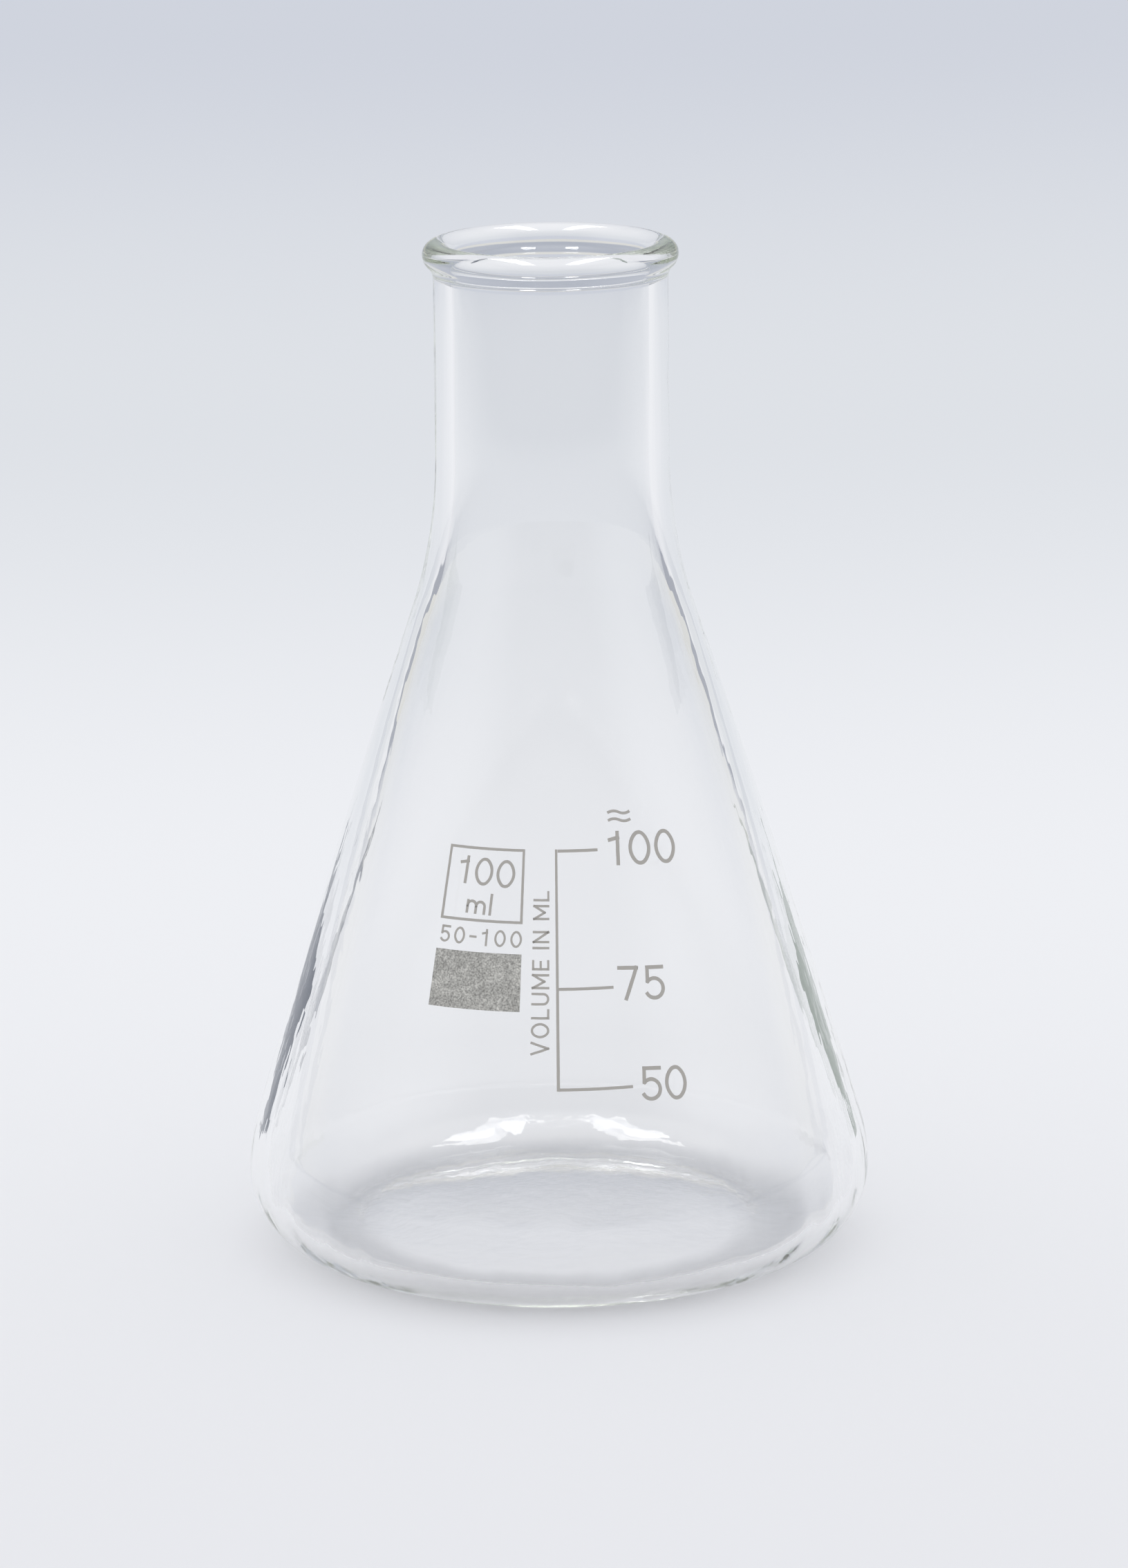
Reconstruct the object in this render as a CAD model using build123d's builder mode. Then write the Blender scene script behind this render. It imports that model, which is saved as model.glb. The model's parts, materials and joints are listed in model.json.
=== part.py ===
from build123d import *

import os
from math import atan2, cos, degrees, radians, sin, sqrt

# Conical laboratory flask of blown glass, with a fired enamel print on its front.
# Origin: centre of the foot ring, on the surface that the flask stands on. +Z is up the axis.
# The front, where the print is, faces -Y. Azimuths are degrees from the front, positive towards +X.

# Overall sizes of the glass
height = 105.0
body_diameter = 64.5
neck_diameter = 23.9
neck_length = 18.0
wall = 2.0

# Foot ring, raised underside and floor
foot_ring_width = 2.2
punt_height = 1.6
floor_flat_width = 2.8

# Heel: a quarter of an ellipse from the foot ring out to the widest point, then an arc into the cone
heel_reach = 8.5
heel_rise = 7.9
heel_top_radius = 18.5

# The cone bulges slightly, as one wide arc, and runs into the neck by a hollow arc
cone_bow_radius = 1900.0
shoulder_radius = 51.7

# Rim bead at the mouth: it swells out of the neck and is rounded over the top into the bore
rim_overhang = 1.05
rim_swell = 2.4
rim_root_pull = 0.7
rim_side_pull = 1.2
rim_crown = 1.4

# Enamel film, its clearance from the glass, and the lines drawn with it
enamel = 0.06
film_clearance = 0.05
line_height = 0.30
spine_angle = 0.7

# Graduations: millilitres, height of the line, azimuth of its free end
graduations = (
    (50, 23.8, 15.2),
    (75, 33.4, 12.7),
    (100, 46.6, 11.2),
)

# Capacity frame and writing panel, which share their two upright edges
label_left = -29.7
label_right = -8.4
frame_low = 39.6
frame_high = 46.75
frame_line = 0.22
frame_line_angle = 0.56
panel_low = 31.2
panel_high = 36.7

# Outer profile, worked out from the sizes above
body_radius = body_diameter / 2
neck_radius = neck_diameter / 2
bore_radius = neck_radius - wall
rim_radius = neck_radius + rim_overhang
widest_rim_height = height - rim_crown
foot_outer_radius = body_radius - heel_reach
foot_inner_radius = foot_outer_radius - foot_ring_width
dome_radius = foot_outer_radius - floor_flat_width
neck_foot_height = widest_rim_height - rim_swell - neck_length

# Centre of the cone's arc, which is tangent to the arc above the heel and to the shoulder
heel_top_centre = Vector(body_radius - heel_top_radius, heel_rise)
shoulder_centre = Vector(neck_radius + shoulder_radius, neck_foot_height)
link = shoulder_centre - heel_top_centre
heel_link = cone_bow_radius - heel_top_radius
shoulder_link = cone_bow_radius + shoulder_radius
along = (link.length**2 + heel_link**2 - shoulder_link**2) / (2 * link.length)
aside = sqrt(heel_link**2 - along**2)
cone_centre = heel_top_centre + link.normalized() * along + link.rotate(Axis.Z, 90).normalized() * aside
cone_low_end = heel_top_centre - cone_centre
cone_high_end = shoulder_centre - cone_centre
cone_low_slope = degrees(atan2(cone_low_end.Y, cone_low_end.X))
cone_high_slope = degrees(atan2(cone_high_end.Y, cone_high_end.X))
cone_turn = cone_high_slope - cone_low_slope


def side_line(distance):
    """Side of the flask from its foot up to its neck, this far outside the glass, or inside it if negative."""
    heel = EllipticalCenterArc(
        (foot_outer_radius, heel_rise), heel_reach + distance, heel_rise + distance, start_angle=270, arc_size=90
    )
    heel_top = JernArc(heel @ 1, (0, 1), heel_top_radius + distance, cone_low_slope)
    cone = JernArc(heel_top @ 1, heel_top % 1, cone_bow_radius + distance, cone_turn)
    shoulder = JernArc(cone @ 1, cone % 1, shoulder_radius - distance, -cone_high_slope)
    return heel @ 0, shoulder @ 1


# Glass body: one turned section, with an open inside
with BuildPart() as flask_body:
    with BuildSketch(Plane.XZ):
        with BuildLine():
            foot_edge, neck_foot = side_line(0)
            neck = Line(neck_foot, (neck_radius, widest_rim_height - rim_swell))
            swell = Bezier(
                neck @ 1,
                (neck_radius, widest_rim_height - rim_swell + rim_root_pull),
                (rim_radius, widest_rim_height - rim_side_pull),
                (rim_radius, widest_rim_height),
            )
            crown = EllipticalCenterArc(
                ((rim_radius + bore_radius) / 2, widest_rim_height),
                (rim_radius - bore_radius) / 2,
                rim_crown,
                start_angle=0,
                arc_size=180,
            )
            floor_edge, bore_foot = side_line(-wall)
            bore = Line(crown @ 1, bore_foot)
            floor_ring = Line(floor_edge, (dome_radius, wall))
            floor_dome = TangentArc((0, wall + punt_height), floor_ring @ 1, tangent=(1, 0))
            axis_line = Line(floor_dome @ 0, (0, punt_height))
            punt = TangentArc(axis_line @ 1, (foot_inner_radius, 0), tangent=(1, 0))
            Line(punt @ 1, foot_edge)
        make_face()
    revolve(axis=Axis.Z)
flask_body.part.label = "flask_body"


def meridian(azimuth):
    """Upright plane through the axis, with its X pointing out of the flask at this azimuth."""
    outward = (sin(radians(azimuth)), -cos(radians(azimuth)), 0)
    side = (-cos(radians(azimuth)), -sin(radians(azimuth)), 0)
    return Plane(origin=(0, 0, 0), x_dir=outward, z_dir=side)


def film_outline():
    """Outline of a coat of enamel over the whole side of the flask."""
    back_low, back_high = side_line(film_clearance)
    front_low, front_high = side_line(film_clearance + enamel)
    Line(back_low, front_low)
    Line(back_high, front_high)


def keep_band(low, high):
    """Cuts the coat down to the band between two heights."""
    with Locations((0, (low + high) / 2)):
        Rectangle(body_diameter, high - low, align=(Align.MIN, Align.CENTER), mode=Mode.INTERSECT)


# Upright line of the volume scale, from the lowest graduation up to the highest
scale_low = graduations[0][1] - line_height / 2
scale_high = graduations[-1][1] + line_height / 2
with BuildPart() as scale_spine:
    with BuildSketch(meridian(-spine_angle / 2)):
        with BuildLine():
            film_outline()
        make_face()
        keep_band(scale_low, scale_high)
    revolve(axis=Axis.Z, revolution_arc=spine_angle)
scale_spine.part.label = "scale_spine"

# Level lines of the scale, each from the spine to its own free end
graduation_lines = []
for volume, level, free_end in graduations:
    with BuildPart() as graduation:
        with BuildSketch(meridian(spine_angle / 2)):
            with BuildLine():
                film_outline()
            make_face()
            keep_band(level - line_height / 2, level + line_height / 2)
        revolve(axis=Axis.Z, revolution_arc=free_end - spine_angle / 2)
    graduation.part.label = f"graduation_{volume}"
    graduation_lines.append(graduation.part)

# Outlined box for the capacity
with BuildPart() as capacity_frame:
    with BuildSketch(meridian(label_left)):
        with BuildLine():
            film_outline()
        make_face()
        keep_band(frame_low, frame_high)
    revolve(axis=Axis.Z, revolution_arc=label_right - label_left)
    with BuildSketch(meridian(label_left + frame_line_angle)):
        with BuildLine():
            film_outline()
        make_face()
        keep_band(frame_low + frame_line, frame_high - frame_line)
    revolve(axis=Axis.Z, revolution_arc=label_right - label_left - 2 * frame_line_angle, mode=Mode.SUBTRACT)
capacity_frame.part.label = "capacity_frame"

# Filled patch that takes a pencil
with BuildPart() as marking_panel:
    with BuildSketch(meridian(label_left)):
        with BuildLine():
            film_outline()
        make_face()
        keep_band(panel_low, panel_high)
    revolve(axis=Axis.Z, revolution_arc=label_right - label_left)
marking_panel.part.label = "marking_panel"

print("volume of glass, ml:", round(flask_body.part.volume / 1000, 2))
print("neck from", round((neck @ 0).Y, 2), "to", round((neck @ 1).Y, 2), "bore to", round((bore @ 0).Y, 2))
print("slope of the cone, degrees:", round(cone_low_slope, 2), "to", round(cone_high_slope, 2))
print("foot ring from", round(foot_inner_radius, 2), "to", round(foot_outer_radius, 2))

os.makedirs("parts", exist_ok=True)
for piece in (flask_body.part, scale_spine.part, *graduation_lines, capacity_frame.part, marking_panel.part):
    export_step(piece, f"parts/{piece.label}.step")
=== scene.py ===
import json
import math

import bmesh
import bpy
from bpy.props import FloatProperty, FloatVectorProperty, IntProperty, PointerProperty
from mathutils import Matrix, Vector, noise


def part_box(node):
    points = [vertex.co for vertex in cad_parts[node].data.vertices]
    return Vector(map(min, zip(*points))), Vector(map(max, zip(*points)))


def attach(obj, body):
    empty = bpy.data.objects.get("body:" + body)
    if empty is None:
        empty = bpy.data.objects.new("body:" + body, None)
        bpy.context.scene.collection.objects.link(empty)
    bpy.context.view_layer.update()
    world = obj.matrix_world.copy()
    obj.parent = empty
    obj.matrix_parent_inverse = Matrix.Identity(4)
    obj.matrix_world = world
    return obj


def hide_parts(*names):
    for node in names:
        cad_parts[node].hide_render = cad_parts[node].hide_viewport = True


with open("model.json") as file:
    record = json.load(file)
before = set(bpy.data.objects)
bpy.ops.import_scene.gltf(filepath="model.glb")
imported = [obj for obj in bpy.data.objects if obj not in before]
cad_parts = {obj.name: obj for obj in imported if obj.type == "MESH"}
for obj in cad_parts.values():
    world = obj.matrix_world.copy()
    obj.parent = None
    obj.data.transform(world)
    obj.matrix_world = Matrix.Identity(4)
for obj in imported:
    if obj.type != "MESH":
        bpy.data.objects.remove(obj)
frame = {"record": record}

bl_info = {
    "name": "Conical Flask",
    "version": (1, 0, 0),
    "blender": (4, 5, 0),
    "location": "View3D > Sidebar > Flask",
    "description": "Blown glass, fired print and studio for a 100 ml conical laboratory flask",
    "category": "Object",
}

# All lengths are in metres. The flask stands on z = 0 with its axis on z and its print facing -Y.
MM = 0.001
WELD = 0.01 * MM

# Steps of the glass's section. A side has four: along the heel, the arc above it, the cone and the shoulder.
OUTER_STEPS = (22, 8, 22, 18)
INNER_STEPS = (22, 8, 24, 18)
UNDERSIDE_STEPS = 24
FLOOR_STEPS = 20
RING_STEPS = 2
NECK_STEPS = 4
RIM_STEPS = 8
BORE_STEPS = 10

# Unevenness of the inner wall, in cells per metre: a slow drift, drawn out upwards, and a quick one
SLOW_ACROSS = 110
SLOW_UPWARD = 25
QUICK_RATE = 260

# Steps of the pen, and the noise that moves the printed edges, in cells per metre. Its start shifts with a
# print's azimuth and height, so that no two prints wander alike, and y draws from another place than x.
LINE_STEP = 0.15 * MM
LETTER_STEP = 0.12 * MM
EDGE_RATE = 1.6 / MM
SHIFT_BY_AZIMUTH = 40
SHIFT_BY_HEIGHT = 900
SHIFT_FOR_Y = Vector((9, 9, 9))

# Space between words, as a share of the height between the middles of the strokes, and about half the length
# of the upright legend
WORD_SPACE = 0.45
UPRIGHT_HALF_MM = 7.5

# Faces of the writing panel, across and up, so that it follows the cone
PANEL_COLUMNS, PANEL_ROWS = 48, 32

# The approximation sign: its stroke, its waves' heights over its base, their radius, their first heading and
# turn in degrees, and the sign's place
SIGN_STROKE = 0.26 * MM
SIGN_WAVES = (0.1 * MM, 0.85 * MM)
SIGN_RADIUS = 1.25 * MM
SIGN_START, SIGN_TURN = 28, 56
SIGN_ACROSS, SIGN_BASE, SIGN_MIDDLE = 5.25 * MM, 49.2 * MM, 49.7 * MM

# Cells per metre in the finishes: draw lines in the glass, grain and thin patches in the enamel
STREAK_RATE = 420
GRAIN_RATE = 5600
PATCH_RATE = 650

# The bench: how far it reaches each way, its gap under the foot ring, from where to where its colours run
# from front to back, their places on that way, and from where to where it dulls in front
BENCH_REACH = 6.0
BENCH_GAP = 0.02 * MM
FADE_RANGE = (-0.4, 1.0)
FADE_STOPS = (0.19, 0.38, 0.62, 1.0)
DULL_RANGE = (-0.13, -0.4)

# Light and shade painted into the bench, in place of light that the flask gathers: distance from the pool's
# middle, and the share of the bench's own colour that glows there whatever the shadow. It paints a pool of
# light under the floor and a dull ring of shadow round the foot ring.
PAINTED_POOL_MIDDLE = (0, -2 * MM, 0)
PAINTED_POOL_REACH = 60 * MM
PAINTED_POOL_AND_SHADOW = (
    (0, 0.92), (17.5 * MM, 0.85), (21 * MM, 0.5), (24 * MM, 0.32),
    (27.5 * MM, 0.46), (35 * MM, 0.66), (PAINTED_POOL_REACH, 0.72),
)

# Size of a lamp and the right one's place, and the right card's near and far foot. The left ones mirror them.
LAMP_SIZE = (0.08, 0.50)
LAMP_PLACE = (0.12, 0.05, 0.55)
CARD_NEAR = (0.062, 0.05)
CARD_FAR = (0.073, 0.16)

# The tent by the direction it is seen in: from where to where its front turns into a side, its front into its
# back, its walls into the ceiling, and the skirting into the back wall
TENT_ASIDE = (0.45, 0.95)
TENT_BEHIND = (-0.1, 0.5)
TENT_ABOVE = (0.7, 0.9)
SKIRTING_TOP = (0.04, 0.10)
SENSOR_WIDTH = 36

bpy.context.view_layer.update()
GLASS_LOW, GLASS_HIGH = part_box("flask_body")
MOUNTS = {mount["name"]: mount for mount in frame["record"]["mounts"]}
NECK_RADIUS = MOUNTS["neck_grip"]["dims"]["r_mm"] * MM
BORE_RADIUS = MOUNTS["mouth"]["dims"]["r_mm"] * MM


def length(default_mm, name, description):
    """A length property, written in millimetres and kept in metres."""
    return FloatProperty(
        name=name, description=description, default=default_mm * MM, min=0, subtype="DISTANCE", precision=5
    )


def colour(default, name, description):
    """A colour property in linear red, green and blue."""
    return FloatVectorProperty(
        name=name, description=description, default=default, min=0, max=1, size=3, subtype="COLOR"
    )


def turn(default_degrees, name, description):
    """An angle property, written in degrees and kept in radians."""
    return FloatProperty(
        name=name, description=description, default=math.radians(default_degrees), subtype="ANGLE"
    )


class FlaskGlassSettings(bpy.types.PropertyGroup):
    """Sizes and finish of the blown glass"""

    height: length((GLASS_HIGH.z - GLASS_LOW.z) / MM, "Height", "From the bench to the top of the rim")
    body_diameter: length((GLASS_HIGH.x - GLASS_LOW.x) / MM, "Body", "Widest diameter, above the heel")
    neck_diameter: length(2 * NECK_RADIUS / MM, "Neck", "Outside diameter of the neck")
    wall: length((NECK_RADIUS - BORE_RADIUS) / MM, "Wall", "Thickness of the glass")
    neck_length: length(18.0, "Neck length", "Straight stretch between the shoulder and the rim bead")
    foot_ring_width: length(2.2, "Foot ring", "Width of the ring that touches the bench")
    punt_height: length(1.6, "Punt", "How far the underside is pushed up in the middle")
    floor_flat_width: length(2.8, "Floor flat", "Level ring of the floor inside the heel")
    heel_reach: length(8.5, "Heel reach", "Width of the rounded heel")
    heel_rise: length(7.9, "Heel rise", "Height of the widest point")
    heel_top_radius: length(18.5, "Heel top radius", "Radius from the widest point into the cone")
    cone_bow_radius: length(1900.0, "Cone bow radius", "Radius of the cone's slight outward bulge")
    shoulder_radius: length(51.7, "Shoulder radius", "Hollow radius from the cone into the neck")
    rim_overhang: length(1.05, "Rim overhang", "How far the rim bead stands out from the neck")
    rim_swell: length(2.4, "Rim swell", "Height over which the neck swells into the bead")
    rim_crown: length(1.4, "Rim crown", "Height of the rounded top of the bead")
    unevenness: length(0.07, "Unevenness", "How far the inner wall wanders, as blown glass does")
    heel_unevenness: length(0.22, "Heel unevenness", "How much further it wanders in the heel")
    segments: IntProperty(name="Segments", description="Steps round the axis", default=384, min=48, max=512)
    tint: colour((0.975, 0.985, 0.955), "Tint", "Colour of light that has passed through thick glass")
    tint_density: FloatProperty(name="Tint density", description="Strength of the tint", default=18.0, min=0)
    refraction: FloatProperty(name="Refraction", description="Index of borosilicate glass", default=1.473)


class FlaskPrintSettings(bpy.types.PropertyGroup):
    """Sizes and colours of the fired print"""

    thickness: length(0.035, "Film", "How far the enamel stands proud of the glass")
    depth: length(0.015, "Fused depth", "How far the enamel has sunk into the glass")
    line_width: length(0.28, "Line", "Width of the scale's lines")
    frame_width: length(0.25, "Frame", "Width of the capacity box's outline")
    numeral_height: length(3.3, "Numerals", "Height of the scale's numerals")
    legend_height: length(1.75, "Legend", "Height of the letters beside the scale")
    line_colour: colour((0.36, 0.345, 0.315), "Line enamel", "Colour of lines and letters")
    panel_colour: colour((0.375, 0.368, 0.343), "Panel enamel", "Colour of the writing panel")
    wander: length(0.012, "Edge wander", "Unevenness of the printed edges")


class FlaskStageSettings(bpy.types.PropertyGroup):
    """Bench, light, cards and camera"""

    bench_front: colour((0.815, 0.822, 0.855), "Bench front", "Colour of the bench in front of the flask")
    bench_bright: colour((0.865, 0.875, 0.905), "Bench behind", "Colour of the bench just behind the flask")
    bench_middle: colour((0.74, 0.762, 0.80), "Bench middle", "Colour of the bench half a metre behind it")
    bench_far: colour((0.635, 0.662, 0.73), "Bench far", "Colour of the bench a metre behind it")
    bench_edge: colour((0.34, 0.36, 0.42), "Bench edge", "Colour in front and aside, as glass mirrors it")
    bench_spread: FloatProperty(name="Spread", description="How fast the bench dulls aside", default=1.2)
    daylight: colour((0.97, 0.98, 1.0), "Daylight", "Colour of the even light that falls on the flask")
    ceiling: colour((1.0, 1.0, 1.0), "Ceiling", "Colour overhead, as glass mirrors it")
    side_walls: colour((0.66, 0.67, 0.70), "Side walls", "Colour of both sides, as glass mirrors it")
    front_wall: colour((0.14, 0.15, 0.17), "Front wall", "Colour behind the camera, as glass mirrors it")
    back_wall: colour((0.45, 0.48, 0.55), "Back wall", "Colour behind the bench")
    skirting: colour((0.72, 0.72, 0.70), "Skirting", "Colour of the strip at the foot of the back wall")
    card_left: colour((0.07, 0.09, 0.13), "Left card", "Colour of the dark card to the left of the frame")
    card_right: colour((0.30, 0.35, 0.30), "Right card", "Colour of the paler card to the right of the frame")
    card_height: length(22, "Card height", "Height of both cards")
    bounces: IntProperty(name="Bounces", description="How often light may turn in glass", default=256, min=4)
    lamp_glare: FloatProperty(name="Lamps", description="Power of a lamp", default=0.9, min=0, unit="POWER")
    camera_distance: length(664.09, "Distance", "From the flask's axis to the camera")
    camera_height: length(209.80, "Camera height", "Height of the camera above the bench")
    camera_pitch: turn(13.664, "Pitch", "How far the camera looks down")
    camera_pan: turn(0.076, "Pan", "How far the camera looks to the right")
    camera_roll: turn(0.538, "Roll", "How far the camera is tilted to the right")
    camera_lens: FloatProperty(name="Lens", description="Focal length on a 36 mm frame", default=152.24)


class SideLine:
    """The flask's outer side from the foot to the neck: heel, arc above it, bowed cone and shoulder."""

    def __init__(self, glass):
        self.glass = glass
        body_radius = glass.body_diameter / 2
        self.neck_radius = glass.neck_diameter / 2
        self.foot_outer = body_radius - glass.heel_reach
        self.foot_inner = self.foot_outer - glass.foot_ring_width
        self.widest_rim = glass.height - glass.rim_crown
        self.neck_foot = self.widest_rim - glass.rim_swell - glass.neck_length
        heel_top = Vector((body_radius - glass.heel_top_radius, glass.heel_rise))
        shoulder = Vector((self.neck_radius + glass.shoulder_radius, self.neck_foot))
        link = shoulder - heel_top
        heel_link = glass.cone_bow_radius - glass.heel_top_radius
        shoulder_link = glass.cone_bow_radius + glass.shoulder_radius
        along = (link.length_squared + heel_link**2 - shoulder_link**2) / (2 * link.length)
        aside = math.sqrt(heel_link**2 - along**2)
        across = Vector((-link.y, link.x)).normalized()
        self.cone_centre = heel_top + link.normalized() * along + across * aside
        self.heel_top_centre = heel_top
        self.shoulder_centre = shoulder
        low, high = heel_top - self.cone_centre, shoulder - self.cone_centre
        self.low_slope = math.atan2(low.y, low.x)
        self.high_slope = math.atan2(high.y, high.x)

    def cone_radius(self, height):
        """Radius of the cone's outside at this height."""
        rise = height - self.cone_centre.y
        return self.cone_centre.x + math.sqrt(self.glass.cone_bow_radius**2 - rise**2)


def new_object(name, bm):
    """Links a drawn mesh into the scene as a piece at the origin."""
    mesh = bpy.data.meshes.new(name)
    bm.to_mesh(mesh)
    bm.free()
    piece = bpy.data.objects.new(name, mesh)
    bpy.context.scene.collection.objects.link(piece)
    return piece


def arc(bm, centre, radius, start, sweep, steps, squash=1.0):
    """Chain of edges along an arc in the XZ plane. Angles are in radians from +X, squash flattens it in z."""
    at = Vector((centre[0] + radius * math.cos(start), 0, centre[1] + radius * math.sin(start)))
    first = bmesh.ops.create_vert(bm, co=at)["vert"][0]
    before = set(bm.verts) - {first}
    middle = Vector((centre[0], 0, centre[1]))
    bmesh.ops.spin(bm, geom=[first], cent=middle, axis=(0, -1, 0), angle=sweep, steps=steps)
    drawn = [v for v in bm.verts if v not in before]
    bmesh.ops.scale(bm, vec=(1, 1, squash), space=Matrix.Translation(-middle), verts=drawn)


def straight(bm, start, end, steps):
    """Chain of edges along a straight line in the XZ plane."""
    first = bmesh.ops.create_vert(bm, co=(start[0], 0, start[1]))["vert"][0]
    last = bmesh.ops.create_vert(bm, co=(end[0], 0, end[1]))["vert"][0]
    edge = bm.edges.new((first, last))
    if steps > 1:
        bmesh.ops.subdivide_edges(bm, edges=[edge], cuts=steps - 1)


def draw_side(bm, line, distance, steps):
    """Side of the flask at a distance outside its outer surface, or inside it if negative."""
    glass = line.glass
    heel, above, cone, shoulder = steps
    reach, rise = glass.heel_reach + distance, glass.heel_rise + distance
    arc(bm, (line.foot_outer, glass.heel_rise), reach, -math.pi / 2, math.pi / 2, heel, rise / reach)
    arc(bm, line.heel_top_centre, glass.heel_top_radius + distance, 0, line.low_slope, above)
    cone_turn = line.high_slope - line.low_slope
    arc(bm, line.cone_centre, glass.cone_bow_radius + distance, line.low_slope, cone_turn, cone)
    hollow = glass.shoulder_radius - distance
    arc(bm, line.shoulder_centre, hollow, math.pi + line.high_slope, -line.high_slope, shoulder)


def draw_dome(bm, edge_radius, edge_height, rise, steps):
    """Shallow dome from the axis out to an edge, level at the axis."""
    radius = (edge_radius**2 + rise**2) / (2 * rise)
    sweep = math.asin(edge_radius / radius)
    arc(bm, (0, edge_height + rise - radius), radius, math.pi / 2, -sweep, steps)


def draw_rim(bm, line, steps):
    """Rim bead: an S-shaped swell out of the neck, then a rounded top over into the bore."""
    glass = line.glass
    root = line.widest_rim - glass.rim_swell
    blend = (glass.rim_swell**2 + glass.rim_overhang**2) / (4 * glass.rim_overhang)
    sweep = math.asin(glass.rim_swell / 2 / blend)
    rim_radius = line.neck_radius + glass.rim_overhang
    arc(bm, (line.neck_radius + blend, root), blend, math.pi, -sweep, steps)
    arc(bm, (rim_radius - blend, line.widest_rim), blend, -sweep, sweep, steps)
    bore_radius = line.neck_radius - glass.wall
    half = (rim_radius - bore_radius) / 2
    arc(bm, (bore_radius + half, line.widest_rim), half, 0, math.pi, 3 * steps, glass.rim_crown / half)


def wander(bm, line):
    """Lets the inner wall drift a little, as it does in blown glass."""
    glass = line.glass
    middle_of_wall = line.neck_radius - glass.wall / 2
    for vert in bm.verts:
        radius = vert.co.xy.length
        if vert.co.z > line.neck_foot:
            inner = radius < middle_of_wall and vert.co.z < line.widest_rim
        else:
            inner = vert.normal.xy.dot(vert.co.xy) < 0 and vert.co.z > glass.wall
        if inner and radius > MM:
            slow = noise.noise(vert.co * Vector((SLOW_ACROSS, SLOW_ACROSS, SLOW_UPWARD)))
            quick = noise.noise(vert.co * QUICK_RATE)
            near_heel = max(0, 1 - vert.co.z / (2 * glass.heel_rise))
            drift = glass.unevenness * slow + glass.heel_unevenness * near_heel * quick
            vert.co.xy *= 1 + drift / radius


def make_glass(glass):
    """Spins the section of the flask into one closed wall of glass."""
    line = SideLine(glass)
    bm = bmesh.new()
    root = line.widest_rim - glass.rim_swell
    bore_radius = line.neck_radius - glass.wall
    dome_radius = line.foot_outer - glass.floor_flat_width
    draw_dome(bm, line.foot_inner, 0, glass.punt_height, UNDERSIDE_STEPS)
    straight(bm, (line.foot_inner, 0), (line.foot_outer, 0), RING_STEPS)
    draw_side(bm, line, 0, OUTER_STEPS)
    straight(bm, (line.neck_radius, line.neck_foot), (line.neck_radius, root), NECK_STEPS)
    draw_rim(bm, line, RIM_STEPS)
    straight(bm, (bore_radius, line.widest_rim), (bore_radius, line.neck_foot), BORE_STEPS)
    draw_side(bm, line, -glass.wall, INNER_STEPS)
    straight(bm, (line.foot_outer, glass.wall), (dome_radius, glass.wall), RING_STEPS)
    draw_dome(bm, dome_radius, glass.wall, glass.punt_height, FLOOR_STEPS)
    bmesh.ops.remove_doubles(bm, verts=bm.verts, dist=WELD)
    bmesh.ops.spin(
        bm, geom=bm.verts[:] + bm.edges[:], cent=(0, 0, 0), axis=(0, 0, 1),
        angle=2 * math.pi, steps=glass.segments, use_merge=True,
    )
    bmesh.ops.remove_doubles(bm, verts=bm.verts, dist=WELD)
    if not all(edge.is_manifold for edge in bm.edges):
        raise RuntimeError("the wall of glass isn't closed")
    bmesh.ops.recalc_face_normals(bm, faces=bm.faces)
    wander(bm, line)
    for face in bm.faces:
        face.smooth = True
    return new_object("flask_glass", bm)


class Pen:
    """Draws strokes of one width on a flat sheet, x to the right and y up, by sweeping a short edge."""

    def __init__(self, width, step):
        self.bm = bmesh.new()
        self.width = width
        self.step = step

    def put(self, x, y, heading):
        """Sets the pen down at a point, facing a heading in degrees from +x."""
        self.at = Vector((x, y, 0))
        self.heading = math.radians(heading)
        left = Vector((-math.sin(self.heading), math.cos(self.heading), 0)) * self.width / 2
        ends = [bmesh.ops.create_vert(self.bm, co=self.at + side)["vert"][0] for side in (left, -left)]
        self.nib = [self.bm.edges.new(ends)]

    def forward(self, distance):
        """Straight stroke."""
        steps = max(1, round(distance / self.step))
        ahead = Vector((math.cos(self.heading), math.sin(self.heading), 0)) * distance / steps
        for _ in range(steps):
            grown = bmesh.ops.extrude_edge_only(self.bm, edges=self.nib)["geom"]
            moved = [part for part in grown if isinstance(part, bmesh.types.BMVert)]
            edges = [part for part in grown if isinstance(part, bmesh.types.BMEdge)]
            self.nib = [edge for edge in edges if all(vert in moved for vert in edge.verts)]
            bmesh.ops.translate(self.bm, vec=ahead, verts=moved)
        self.at += ahead * steps

    def bend(self, radius, degrees):
        """Curved stroke, to the left if degrees are positive and to the right if negative."""
        sweep = math.radians(degrees)
        side = math.copysign(1, sweep)
        left = Vector((-math.sin(self.heading), math.cos(self.heading), 0))
        centre = self.at + left * radius * side
        steps = max(2, round(abs(sweep) * radius / self.step))
        swept = bmesh.ops.spin(
            self.bm, geom=self.nib, cent=centre, axis=(0, 0, 1), angle=sweep, steps=steps
        )["geom_last"]
        self.nib = [part for part in swept if isinstance(part, bmesh.types.BMEdge)]
        self.at = centre + Matrix.Rotation(sweep, 3, "Z") @ (self.at - centre)
        self.heading += sweep


def oval(pen, x, y, wide, high):
    """Closed oval about a centre, of four arcs that run into each other."""
    half_wide, half_high, share = wide / 2, high / 2, math.radians(45)
    sine, cosine = math.sin(share), math.cos(share)
    side = (half_high * cosine - half_wide * (1 - sine)) / (sine + cosine - 1)
    end = (half_wide - side * (1 - cosine)) / cosine
    pen.put(x + half_wide, y, 90)
    for radius, degrees in ((side, 45), (end, 90), (side, 90), (end, 90), (side, 45)):
        pen.bend(radius, degrees)


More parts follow.
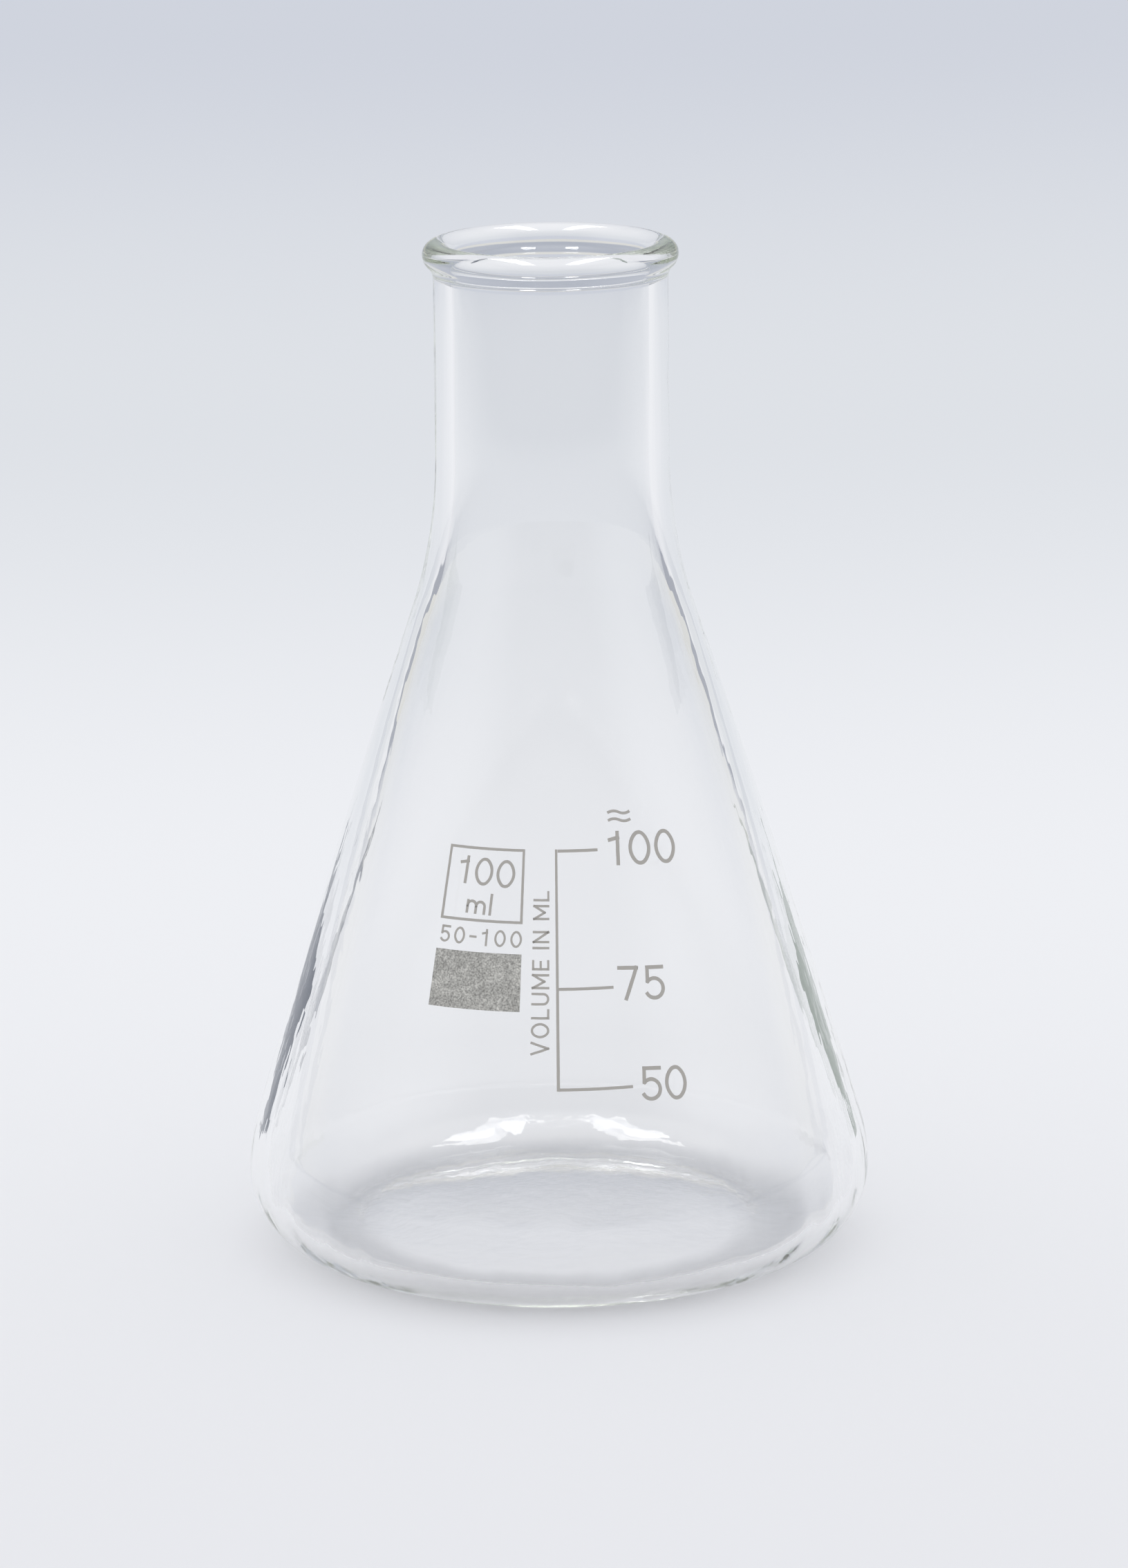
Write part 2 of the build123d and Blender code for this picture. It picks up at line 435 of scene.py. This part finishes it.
# Each character is its width and its strokes, with a height of 1. A stroke starts at x, y with a heading
# in degrees; a number in it is a straight length and a pair is the radius and turn of a curve.
CHARACTERS = {
    "1": (0.50, [((0.33, 0, 90), [1.0]), ((0.05, 0.77, 14), [0.30])]),
    "5": (0.62, [((0.62, 1, 180), [0.55]), ((0.07, 1, 269), [0.45]), ((0.074, 0.546, 45), [(0.32, -280)])]),
    "7": (0.62, [((0, 1, 0), [0.62]), ((0.62, 1, 249), [1.07])]),
    "-": (0.40, [((0, 0.5, 0), [0.40])]),
    "m": (1.14, [((0, 0, 90), [0.66]), ((0, 0.38, 90), [(0.285, -180), 0.38]),
                 ((0.57, 0.38, 90), [(0.285, -180), 0.38])]),
    "l": (0.0, [((0, 0, 90), [1.15])]),
    "V": (0.70, [((0, 1, 289.3), [1.06]), ((0.35, 0, 70.7), [1.06])]),
    "L": (0.50, [((0, 1, 270), [1.0]), ((0, 0, 0), [0.50])]),
    "U": (0.64, [((0, 1, 270), [0.68, (0.32, 180), 0.68])]),
    "M": (0.80, [((0, 0, 90), [1.0]), ((0, 1, 298), [0.85]),
                 ((0.4, 0.25, 62), [0.85]), ((0.8, 1, 270), [1.0])]),
    "E": (0.50, [((0, 0, 90), [1.0]), ((0, 1, 0), [0.50]), ((0, 0.5, 0), [0.44]), ((0, 0, 0), [0.50])]),
    "I": (0.0, [((0, 0, 90), [1.0])]),
    "N": (0.62, [((0, 0, 90), [1.0]), ((0, 1, 301.8), [1.177]), ((0.62, 0, 90), [1.0])]),
}
# Characters that are one oval, with their widths at a height of 1
OVALS = {"0": 0.68, "O": 0.80}


def write_text(pen, text, height, gap):
    """Writes a line of characters from the origin. Height and gap are measured over the strokes."""
    scale = height - pen.width
    x = pen.width / 2
    base = pen.width / 2
    for mark in text:
        if mark == " ":
            x += scale * WORD_SPACE
            continue
        if mark in OVALS:
            wide = OVALS[mark]
            oval(pen, x + wide * scale / 2, base + scale / 2, wide * scale, scale)
        else:
            wide, strokes = CHARACTERS[mark]
            for (start_x, start_y, heading), moves in strokes:
                facing = math.radians(heading)
                back = Vector((math.cos(facing), math.sin(facing))) * pen.width / 2
                pen.put(x + start_x * scale - back.x, base + start_y * scale - back.y, heading)
                pen.forward(pen.width / 2)
                for move in moves:
                    if isinstance(move, tuple):
                        pen.bend(move[0] * scale, move[1])
                    else:
                        pen.forward(move * scale)
                pen.forward(pen.width / 2)
        x += wide * scale + gap + pen.width


def fire_print(name, bm, line, film, azimuth, height, reference):
    """Wraps a flat print on the cone and gives it the thickness of the film.

    The sheet's origin goes to an azimuth in radians and a height. Reference is the height at which the
    sheet keeps its true width; its uprights follow the meridians."""
    shift = Vector((azimuth * SHIFT_BY_AZIMUTH, height * SHIFT_BY_HEIGHT, 0))
    for vert in bm.verts:
        if vert.is_boundary:
            at = vert.co * EDGE_RATE + shift
            vert.co += Vector((noise.noise(at), noise.noise(at + SHIFT_FOR_Y), 0)) * film.wander
    grown = bmesh.ops.extrude_face_region(bm, geom=bm.faces[:], use_keep_orig=True)["geom"]
    front = [part for part in grown if isinstance(part, bmesh.types.BMVert)]
    bmesh.ops.translate(bm, vec=(0, 0, film.thickness + film.depth), verts=front)
    true_radius = line.cone_radius(reference)
    for vert in bm.verts:
        angle = azimuth + vert.co.x / true_radius
        level = height + vert.co.y
        radius = line.cone_radius(level) - film.depth + vert.co.z
        vert.co = Vector((radius * math.sin(angle), -radius * math.cos(angle), level))
    bmesh.ops.recalc_face_normals(bm, faces=bm.faces)
    return new_object(name, bm)


def settle(piece, material, node=None):
    """Gives a finished piece its body and finish, and hides the CAD node it stands for."""
    piece.data.materials.append(material)
    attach(piece, "root")
    if node:
        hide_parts(node)


def azimuth_at(x, height, line):
    """Azimuth at which a point on the cone at this height has this x."""
    return math.asin(x / line.cone_radius(height))


def blank_material(name):
    """New node material, with its nodes, links and main shader."""
    material = bpy.data.materials.get(name) or bpy.data.materials.new(name)
    material.use_nodes = True
    nodes = material.node_tree.nodes
    nodes.clear()
    output = nodes.new("ShaderNodeOutputMaterial")
    shader = nodes.new("ShaderNodeBsdfPrincipled")
    material.node_tree.links.new(shader.outputs["BSDF"], output.inputs["Surface"])
    return material, nodes, material.node_tree.links, shader, output


def object_noise(nodes, links, scale, detail, stretch=(1, 1, 1)):
    """Noise on the piece's own coordinates, in cells per metre."""
    place = nodes.new("ShaderNodeTexCoord")
    mapping = nodes.new("ShaderNodeMapping")
    mapping.inputs["Scale"].default_value = stretch
    texture = nodes.new("ShaderNodeTexNoise")
    texture.inputs["Scale"].default_value = scale
    texture.inputs["Detail"].default_value = detail
    links.new(place.outputs["Object"], mapping.inputs["Vector"])
    links.new(mapping.outputs["Vector"], texture.inputs["Vector"])
    return texture.outputs["Fac"]


def compute(nodes, links, operation, *values):
    """Result of a Math node on values that are each a socket or a plain number."""
    step = nodes.new("ShaderNodeMath")
    step.operation = operation
    for entry, value in zip(step.inputs, values):
        if isinstance(value, bpy.types.NodeSocket):
            links.new(value, entry)
        else:
            entry.default_value = value
    return step.outputs["Value"]


def carried(nodes, links, value, before, after=(0, 1), kind="LINEAR"):
    """A value carried from one range into another and held at its ends, evenly or as a smooth step."""
    carry = nodes.new("ShaderNodeMapRange")
    carry.interpolation_type = kind
    for name, limit in zip(("From Min", "From Max", "To Min", "To Max"), (*before, *after)):
        carry.inputs[name].default_value = limit
    links.new(value, carry.inputs["Value"])
    return carry.outputs["Result"]


def smooth_step(nodes, links, value, before):
    """Smooth step of a value, from 0 at the start of a range to 1 at its end."""
    return carried(nodes, links, value, before, kind="SMOOTHSTEP")


def colour_mix(nodes, links, factor, first, second):
    """Mix of two colours, each a socket or a plain colour."""
    mix = nodes.new("ShaderNodeMix")
    mix.data_type = "RGBA"
    links.new(factor, mix.inputs["Factor"])
    for name, tone in (("A", first), ("B", second)):
        if isinstance(tone, bpy.types.NodeSocket):
            links.new(tone, mix.inputs[name])
        else:
            mix.inputs[name].default_value = (*tone, 1)
    return mix.outputs["Result"]


def colour_ramp(nodes, links, factor, stops, interpolation):
    """Ramp through stops, each a position from 0 to 1 and a colour."""
    ramp = nodes.new("ShaderNodeValToRGB")
    ramp.color_ramp.interpolation = interpolation
    elements = ramp.color_ramp.elements
    while len(elements) < len(stops):
        elements.new(0.5)
    for element, (position, tone) in zip(elements, stops):
        element.position = position
        element.color = (*tone, 1)
    links.new(factor, ramp.inputs["Fac"])
    return ramp.outputs["Color"]


def bump_up(nodes, links, shader, height, strength, distance):
    """Gives a shader a bump from a height."""
    bump = nodes.new("ShaderNodeBump")
    bump.inputs["Strength"].default_value = strength
    bump.inputs["Distance"].default_value = distance
    links.new(height, bump.inputs["Height"])
    links.new(bump.outputs["Normal"], shader.inputs["Normal"])


def glass_material(glass):
    """Clear borosilicate glass: faint upright draw lines, and a slight green in its thickness."""
    material, nodes, links, shader, output = blank_material("clear_glass")
    shader.inputs["Base Color"].default_value = (1, 1, 1, 1)
    shader.inputs["Roughness"].default_value = 0.0
    shader.inputs["Transmission Weight"].default_value = 1.0
    shader.inputs["IOR"].default_value = glass.refraction
    streaks = object_noise(nodes, links, STREAK_RATE, detail=2, stretch=(1, 1, 0.12))
    bump_up(nodes, links, shader, streaks, strength=0.15, distance=0.15 * MM)
    absorb = nodes.new("ShaderNodeVolumeAbsorption")
    absorb.inputs["Color"].default_value = (*glass.tint, 1)
    absorb.inputs["Density"].default_value = glass.tint_density
    links.new(absorb.outputs["Volume"], output.inputs["Volume"])
    return material


def enamel_material(name, base, grain, mottle):
    """Matt fired enamel: fine grain in its colour and relief, and soft patches that are paler."""
    material, nodes, links, shader, _ = blank_material(name)
    fine = object_noise(nodes, links, GRAIN_RATE, detail=2)
    patches = object_noise(nodes, links, PATCH_RATE, detail=2)
    grains = carried(nodes, links, fine, before=(0.3, 0.7), after=(1 - grain, 1 + grain))
    paler = carried(nodes, links, patches, before=(0.45, 0.75), after=(1.0, 1 + mottle))
    tone = nodes.new("ShaderNodeVectorMath")
    tone.operation = "SCALE"
    tone.inputs[0].default_value = base
    links.new(compute(nodes, links, "MULTIPLY", grains, paler), tone.inputs["Scale"])
    links.new(tone.outputs["Vector"], shader.inputs["Base Color"])
    shader.inputs["Roughness"].default_value = 0.75
    bump_up(nodes, links, shader, fine, strength=0.4, distance=0.02 * MM)
    return material


def line_enamel(film):
    """The finish that all lines and letters share."""
    made = bpy.data.materials.get("line_enamel")
    return made or enamel_material("line_enamel", film.line_colour, grain=0.30, mottle=0.15)


class FLASK_OT_blow_glass(bpy.types.Operator):
    """Make the glass: foot ring, heel, cone, shoulder, neck and rim bead as one turned wall"""

    bl_idname = "flask.blow_glass"
    bl_label = "Blow the glass"

    def execute(self, context):
        glass = context.scene.flask_glass
        settle(make_glass(glass), glass_material(glass), "flask_body")
        return {"FINISHED"}


class FLASK_OT_print_scale(bpy.types.Operator):
    """Print the upright line of the scale and its three level lines"""

    bl_idname = "flask.print_scale"
    bl_label = "Print the scale lines"

    def execute(self, context):
        line, film = SideLine(context.scene.flask_glass), context.scene.flask_print
        low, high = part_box("scale_spine")
        pen = Pen(film.line_width, LINE_STEP)
        pen.put(0, 0, 90)
        pen.forward(high.z - low.z)
        middle = (low.z + high.z) / 2
        spine = fire_print("scale_spine_film", pen.bm, line, film, 0, low.z, middle)
        settle(spine, line_enamel(film), "scale_spine")
        for volume in (50, 75, 100):
            node = f"graduation_{volume}"
            low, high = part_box(node)
            level = (low.z + high.z) / 2
            start = film.line_width / 2
            pen = Pen(film.line_width, LINE_STEP)
            pen.put(start, 0, 0)
            pen.forward(azimuth_at(high.x, level, line) * line.cone_radius(level) - start)
            mark = fire_print(f"{node}_film", pen.bm, line, film, 0, level, level)
            settle(mark, line_enamel(film), node)
        return {"FINISHED"}


class FLASK_OT_print_label(bpy.types.Operator):
    """Print the outlined capacity box and the filled writing panel"""

    bl_idname = "flask.print_label"
    bl_label = "Print the label"

    def execute(self, context):
        line, film = SideLine(context.scene.flask_glass), context.scene.flask_print
        low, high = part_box("capacity_frame")
        left, right = azimuth_at(low.x, low.z, line), azimuth_at(high.x, high.z, line)
        middle = (low.z + high.z) / 2
        wide = (right - left) * line.cone_radius(middle)
        tall = high.z - low.z
        pen = Pen(film.frame_width, LINE_STEP)
        inset = film.frame_width / 2
        upright = tall - 2 * film.frame_width
        for x, y, heading, run in (
            (0, inset, 0, wide),
            (wide - inset, film.frame_width, 90, upright),
            (wide, tall - inset, 180, wide),
            (inset, tall - film.frame_width, 270, upright),
        ):
            pen.put(x, y, heading)
            pen.forward(run)
        outline = fire_print("capacity_frame_film", pen.bm, line, film, left, low.z, middle)
        settle(outline, line_enamel(film), "capacity_frame")
        low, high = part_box("marking_panel")
        middle = (low.z + high.z) / 2
        wide = (right - left) * line.cone_radius(middle)
        bm = bmesh.new()
        bmesh.ops.create_grid(bm, x_segments=PANEL_COLUMNS, y_segments=PANEL_ROWS, size=0.5)
        bmesh.ops.translate(bm, vec=(0.5, 0.5, 0), verts=bm.verts)
        bmesh.ops.scale(bm, vec=(wide, high.z - low.z, 1), verts=bm.verts)
        panel = fire_print("marking_panel_film", bm, line, film, left, low.z, middle)
        finish = enamel_material("panel_enamel", film.panel_colour, grain=0.45, mottle=0.35)
        settle(panel, finish, "marking_panel")
        return {"FINISHED"}


class FLASK_OT_print_lettering(bpy.types.Operator):
    """Print the numerals, the unit, the approximation sign and two plain legends"""

    bl_idname = "flask.print_lettering"
    bl_label = "Print the lettering"

    def execute(self, context):
        line, film = SideLine(context.scene.flask_glass), context.scene.flask_print
        big, small = film.numeral_height, film.legend_height
        # Name, text and height, then in millimetres the stroke, the way round from the front to the print's
        # origin, that origin's height and the gap between characters, and last the turn in degrees
        rows = (
            ("numerals_100", "100", big, 0.36, 5.00, 45.05, 0.46, -3.7),
            ("numerals_75", "75", big, 0.36, 5.97, 32.10, 0.59, -3.7),
            ("numerals_50", "50", big, 0.36, 8.28, 22.35, 0.38, -3.7),
            ("capacity_numerals", "100", 2.68 * MM, 0.29, -10.21, 43.20, 0.36, -2.5),
            ("capacity_unit", "ml", 1.85 * MM, 0.26, -9.29, 40.38, 0.36, -2.5),
            ("range_legend", "50-100", 1.62 * MM, 0.21, -12.2, 37.38, 0.48, -0.5),
            ("volume_legend", "VOLUME IN ML", small, 0.22, -0.80, 27.10, 0.35, 90),
        )
        for name, text, tall, stroke, across, base, gap, turned in rows:
            pen = Pen(stroke * MM, LETTER_STEP)
            write_text(pen, text, tall, gap * MM)
            spun = Matrix.Rotation(math.radians(turned), 3, "Z")
            bmesh.ops.rotate(pen.bm, cent=(0, 0, 0), matrix=spun, verts=pen.bm.verts)
            reference = (base + (UPRIGHT_HALF_MM if turned == 90 else tall / MM / 2)) * MM
            azimuth = across * MM / line.cone_radius(reference)
            letters = fire_print(name, pen.bm, line, film, azimuth, base * MM, reference)
            settle(letters, line_enamel(film))
        pen = Pen(SIGN_STROKE, LETTER_STEP)
        for rise in SIGN_WAVES:
            pen.put(0, rise, SIGN_START)
            pen.bend(SIGN_RADIUS, -SIGN_TURN)
            pen.bend(SIGN_RADIUS, SIGN_TURN)
        azimuth = SIGN_ACROSS / line.cone_radius(SIGN_MIDDLE)
        sign = fire_print("about_sign", pen.bm, line, film, azimuth, SIGN_BASE, SIGN_MIDDLE)
        settle(sign, line_enamel(film))
        return {"FINISHED"}


class FLASK_OT_set_stage(bpy.types.Operator):
    """Lay the bench, hang the lamps, set the cards, raise the tent and place the camera"""

    bl_idname = "flask.set_stage"
    bl_label = "Set the stage"

    def execute(self, context):
        stage = context.scene.flask_stage
        lay_bench(stage)
        hang_lamps(stage)
        set_cards(stage)
        raise_tent(context.scene, stage)
        place_camera(context.scene, stage)
        context.scene.view_settings.view_transform = "Standard"
        return {"FINISHED"}


def before_scatter(nodes, links, rays, value):
    """The value on rays that have met no matt surface since the camera, and 0 on all others."""
    first = compute(nodes, links, "LESS_THAN", rays.outputs["Diffuse Depth"], 0.5)
    return compute(nodes, links, "MULTIPLY", value, first)


def looked_at(nodes, links):
    """1 for rays from the camera, straight or by way of glass, and 0 for rays that gather light."""
    rays = nodes.new("ShaderNodeLightPath")
    seen = rays.outputs["Is Camera Ray"]
    for kind in ("Is Glossy Ray", "Is Transmission Ray"):
        seen = compute(nodes, links, "MAXIMUM", seen, rays.outputs[kind])
    return before_scatter(nodes, links, rays, seen)


def mirrored_at(nodes, links):
    """1 for rays from the camera that the glass has mirrored at least once, and 0 for all others."""
    rays = nodes.new("ShaderNodeLightPath")
    turned = compute(nodes, links, "GREATER_THAN", rays.outputs["Glossy Depth"], 0.5)
    return before_scatter(nodes, links, rays, turned)


def bench_tone(nodes, links, place, stage):
    """The bench's colour: bluer towards the back, and duller in front and aside as glass mirrors it."""
    axes = nodes.new("ShaderNodeSeparateXYZ")
    links.new(place, axes.inputs["Vector"])
    square = compute(nodes, links, "MULTIPLY", axes.outputs["X"], axes.outputs["X"])
    depth = compute(nodes, links, "MULTIPLY_ADD", square, -stage.bench_spread, axes.outputs["Y"])
    paints = (stage.bench_front, stage.bench_bright, stage.bench_middle, stage.bench_far)
    along = carried(nodes, links, depth, FADE_RANGE)
    fade = colour_ramp(nodes, links, along, list(zip(FADE_STOPS, paints)), "EASE")
    near = smooth_step(nodes, links, depth, DULL_RANGE)
    dull = compute(nodes, links, "MULTIPLY", near, mirrored_at(nodes, links))
    return colour_mix(nodes, links, dull, fade, stage.bench_edge)


def painted_pool_share(nodes, links, place):
    """Painted pool of light and shadow: the share of the bench's colour that glows where the camera sees it,
    by the distance from the pool.
    """
    away = nodes.new("ShaderNodeVectorMath")
    away.operation = "DISTANCE"
    away.inputs[1].default_value = PAINTED_POOL_MIDDLE
    links.new(place, away.inputs[0])
    outward = carried(nodes, links, away.outputs["Value"], (0, PAINTED_POOL_REACH))
    stops = [(radius / PAINTED_POOL_REACH, (share, share, share)) for radius, share in PAINTED_POOL_AND_SHADOW]
    painted_pool_ramp = colour_ramp(nodes, links, outward, stops, "LINEAR")
    return compute(nodes, links, "MULTIPLY", looked_at(nodes, links), painted_pool_ramp)


def lay_bench(stage):
    """Pale bench that keeps the flask's shadow, apart from the share of its colour that glows, which paints a
    pool of light under the flask and a shadow round its foot ring.
    """
    bm = bmesh.new()
    bmesh.ops.create_grid(bm, x_segments=2, y_segments=2, size=BENCH_REACH)
    bmesh.ops.translate(bm, vec=(0, 0, -BENCH_GAP), verts=bm.verts)
    bench = new_object("bench", bm)
    material, nodes, links, shader, output = blank_material("pale_bench")
    place = nodes.new("ShaderNodeTexCoord").outputs["Object"]
    tone = bench_tone(nodes, links, place, stage)
    links.new(tone, shader.inputs["Base Color"])
    shader.inputs["Roughness"].default_value = 0.9
    shader.inputs["Specular IOR Level"].default_value = 0.0
    # Painted light: this glow paints a pool of light under the flask and a shadow round its foot ring on the
    # bench.
    painted_glow = nodes.new("ShaderNodeEmission")
    links.new(tone, painted_glow.inputs["Color"])
    blend = nodes.new("ShaderNodeMixShader")
    links.new(painted_pool_share(nodes, links, place), blend.inputs["Fac"])
    links.new(shader.outputs["BSDF"], blend.inputs[1])
    links.new(painted_glow.outputs["Emission"], blend.inputs[2])
    links.new(blend.outputs["Shader"], output.inputs["Surface"])
    bench.data.materials.append(material)


def hang_lamps(stage):
    """Two long lamps overhead, one to each side. They show as highlights and leave the light to the tent."""
    for side, name in ((-1, "lamp_left"), (1, "lamp_right")):
        lamp = bpy.data.lights.new(name, "AREA")
        lamp.shape = "RECTANGLE"
        lamp.size, lamp.size_y = LAMP_SIZE
        lamp.energy = stage.lamp_glare
        holder = bpy.data.objects.new(name, lamp)
        across, behind, above = LAMP_PLACE
        holder.location = (across * side, behind, above)
        holder.visible_diffuse = False
        bpy.context.scene.collection.objects.link(holder)


def set_cards(stage):
    """Low dark cards along both borders of the frame. Only the glass shows them, as lines along its edges."""
    for side, name, tone in ((-1, "card_left", stage.card_left), (1, "card_right", stage.card_right)):
        bm = bmesh.new()
        ends = [
            bmesh.ops.create_vert(bm, co=(across * side, behind, 0))["vert"][0]
            for across, behind in (CARD_NEAR, CARD_FAR)
        ]
        foot = bm.edges.new(ends)
        grown = bmesh.ops.extrude_edge_only(bm, edges=[foot])["geom"]
        top = [part for part in grown if isinstance(part, bmesh.types.BMVert)]
        bmesh.ops.translate(bm, vec=(0, 0, stage.card_height), verts=top)
        card = new_object(name, bm)
        material, _, _, shader, _ = blank_material(name)
        shader.inputs["Base Color"].default_value = (*tone, 1)
        shader.inputs["Roughness"].default_value = 1.0
        card.data.materials.append(material)
        card.visible_camera = card.visible_diffuse = card.visible_shadow = card.visible_glossy = False


def raise_tent(scene, stage):
    """Pale tent with a grey back wall. Its light is even, and what glass mirrors of it is dark in front."""
    world = bpy.data.worlds.new("white_tent")
    world.use_nodes = True
    nodes, links = world.node_tree.nodes, world.node_tree.links
    nodes.clear()
    output = nodes.new("ShaderNodeOutputWorld")
    light = nodes.new("ShaderNodeBackground")
    place = nodes.new("ShaderNodeTexCoord")
    axes = nodes.new("ShaderNodeSeparateXYZ")
    links.new(place.outputs["Generated"], axes.inputs["Vector"])
    aside = compute(nodes, links, "ABSOLUTE", axes.outputs["X"])
    beside = smooth_step(nodes, links, aside, TENT_ASIDE)
    behind = smooth_step(nodes, links, axes.outputs["Y"], TENT_BEHIND)
    above = smooth_step(nodes, links, axes.outputs["Z"], TENT_ABOVE)
    higher = smooth_step(nodes, links, axes.outputs["Z"], SKIRTING_TOP)
    in_front = colour_mix(nodes, links, beside, stage.front_wall, stage.side_walls)
    at_the_back = colour_mix(nodes, links, higher, stage.skirting, stage.back_wall)
    round_about = colour_mix(nodes, links, behind, in_front, at_the_back)
    mirrored = colour_mix(nodes, links, above, round_about, stage.ceiling)
    in_view = colour_mix(nodes, links, behind, stage.daylight, at_the_back)
    shown = colour_mix(nodes, links, mirrored_at(nodes, links), in_view, mirrored)
    links.new(colour_mix(nodes, links, looked_at(nodes, links), stage.daylight, shown), light.inputs["Color"])
    links.new(light.outputs["Background"], output.inputs["Surface"])
    scene.world = world
    scene.cycles.max_bounces = stage.bounces
    scene.cycles.glossy_bounces = stage.bounces
    scene.cycles.transmission_bounces = stage.bounces


def place_camera(scene, stage):
    """Camera in front of the print, looking down at it."""
    lens = bpy.data.cameras.new("camera")
    lens.lens = stage.camera_lens
    lens.sensor_width = SENSOR_WIDTH
    lens.clip_start, lens.clip_end = 0.01, 50
    camera = bpy.data.objects.new("camera", lens)
    turned = (
        Matrix.Rotation(-stage.camera_pan, 4, "Z")
        @ Matrix.Rotation(math.pi / 2 - stage.camera_pitch, 4, "X")
        @ Matrix.Rotation(-stage.camera_roll, 4, "Z")
    )
    camera.matrix_world = Matrix.Translation((0, -stage.camera_distance, stage.camera_height)) @ turned
    scene.collection.objects.link(camera)
    scene.camera = camera


class FLASK_PT_tools(bpy.types.Panel):
    """Steps that make the flask, in order"""

    bl_idname = "FLASK_PT_tools"
    bl_label = "Conical Flask"
    bl_space_type = "VIEW_3D"
    bl_region_type = "UI"
    bl_category = "Flask"

    def draw(self, context):
        for step in OPERATORS:
            self.layout.operator(step.bl_idname)


SETTINGS = (
    ("flask_glass", FlaskGlassSettings),
    ("flask_print", FlaskPrintSettings),
    ("flask_stage", FlaskStageSettings),
)
OPERATORS = (
    FLASK_OT_blow_glass,
    FLASK_OT_print_scale,
    FLASK_OT_print_label,
    FLASK_OT_print_lettering,
    FLASK_OT_set_stage,
)


def register():
    for name, group in SETTINGS:
        bpy.utils.register_class(group)
        setattr(bpy.types.Scene, name, PointerProperty(type=group))
    for step in OPERATORS:
        bpy.utils.register_class(step)
    bpy.utils.register_class(FLASK_PT_tools)


def unregister():
    bpy.utils.unregister_class(FLASK_PT_tools)
    for step in reversed(OPERATORS):
        bpy.utils.unregister_class(step)
    for name, group in reversed(SETTINGS):
        delattr(bpy.types.Scene, name)
        bpy.utils.unregister_class(group)


def main():
    register()
    bpy.ops.flask.blow_glass()
    bpy.ops.flask.print_scale()
    bpy.ops.flask.print_label()
    bpy.ops.flask.print_lettering()
    bpy.ops.flask.set_stage()


if __name__ == "__main__":
    main()
